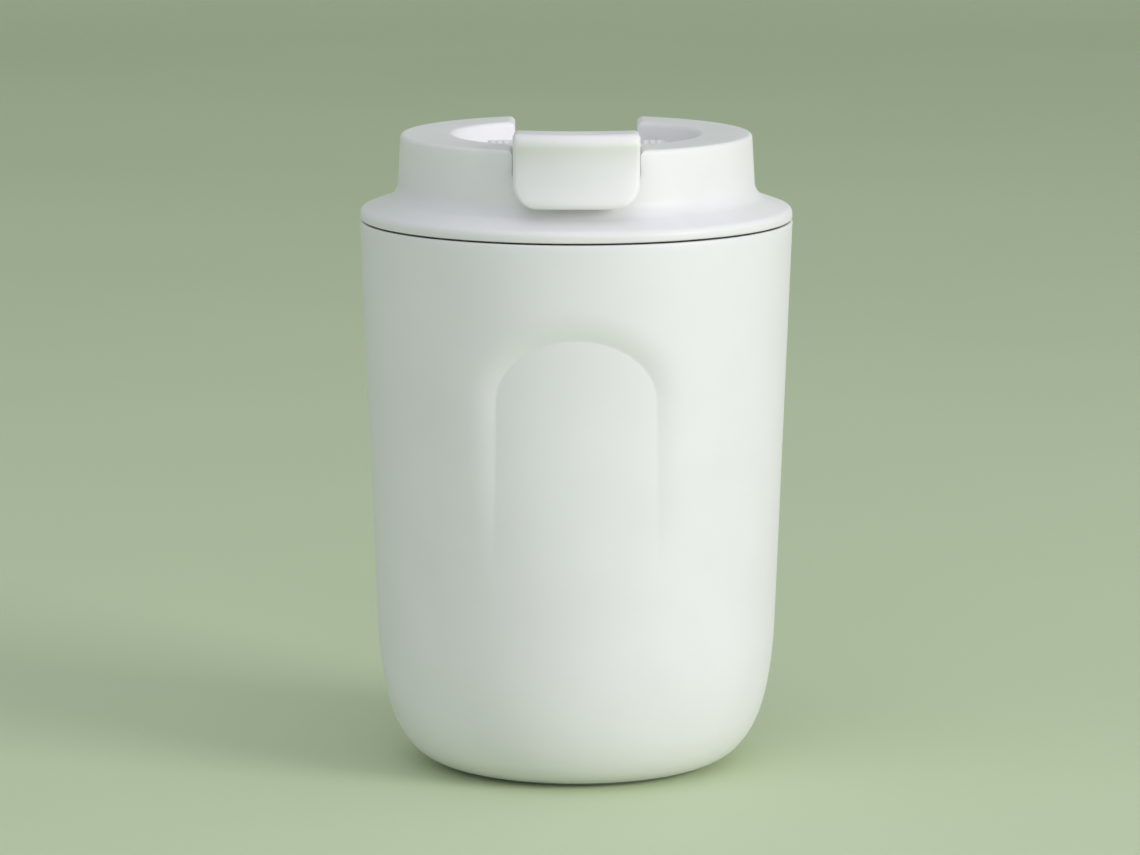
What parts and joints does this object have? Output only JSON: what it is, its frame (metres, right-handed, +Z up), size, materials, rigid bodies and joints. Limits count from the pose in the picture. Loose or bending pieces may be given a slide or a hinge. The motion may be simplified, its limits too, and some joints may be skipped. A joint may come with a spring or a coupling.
{
  "type": "insulated travel mug",
  "caption": "Tapered double-walled steel mug with a thumb groove in front and a screw-in lid whose flip lever closes the sip hole.",
  "frame": {"origin": "middle of the foot pad's underside, on the table", "axes": "+Z up along the mug's axis; the thumb groove and the lever's tab face -Y; +X is to the right as seen from the front"},
  "size_m": [0.086, 0.086, 0.1304],
  "materials": {
    "shell_coat": "white powder coat, fine satin texture",
    "liner_steel": "electropolished, lightly brushed round the axis",
    "base_steel": "satin",
    "copper": "copper foil, slightly wrinkled",
    "getter_metal": "sintered, matte grey",
    "bead_braze": "solidified bead, smooth",
    "pad_silicone": "matte silicone, pale grey",
    "seal_silicone": "matte silicone, translucent white",
    "lid_plastic": "white polypropylene, fine satin texture",
    "plug_plastic": "white polypropylene, smoother than the cover",
    "foam": "closed-cell foam",
    "pin_steel": "ground stainless pin"
  },
  "bodies": {
    "cup": {"outer_shell": "shell_coat", "inner_liner": "liner_steel", "copper_foil": "copper", "getter": "getter_metal", "vacuum_base": "base_steel", "seal_bead": "bead_braze", "base_cover": "base_steel", "foot_pad": "pad_silicone"},
    "seal": {"seal_ring": "seal_silicone"},
    "lid": {"lid_cover": "lid_plastic", "lid_plug": "plug_plastic", "insulation_disc": "foam", "duct_gasket": "seal_silicone", "hinge_cap_left": "lid_plastic", "hinge_cap_right": "lid_plastic"},
    "lever": {"lever": "lid_plastic", "stopper_carrier": "plug_plastic", "sip_stopper": "seal_silicone", "vent_stopper": "seal_silicone", "hinge_pin": "pin_steel"}
  },
  "joints": [
    {"name": "lid_lift", "type": "slide", "parent": "cup", "child": "seal", "axis": [0, 0, 1], "range_m": [0, 0.016]},
    {"name": "lid_turn", "type": "hinge", "parent": "seal", "child": "lid", "pos_m": [0, 0, 0.11], "axis": [0, 0, 1], "range_deg": [0, 480]},
    {"name": "lever_flip", "type": "hinge", "parent": "lid", "child": "lever", "pos_m": [0, 0, 0.1219], "axis": [-1, 0, 0], "range_deg": [0, 155]}
  ],
  "couplings": [
    {"joint": "lid_lift", "follows": "lid_turn", "m_per_rad": 0.0019098}
  ]
}
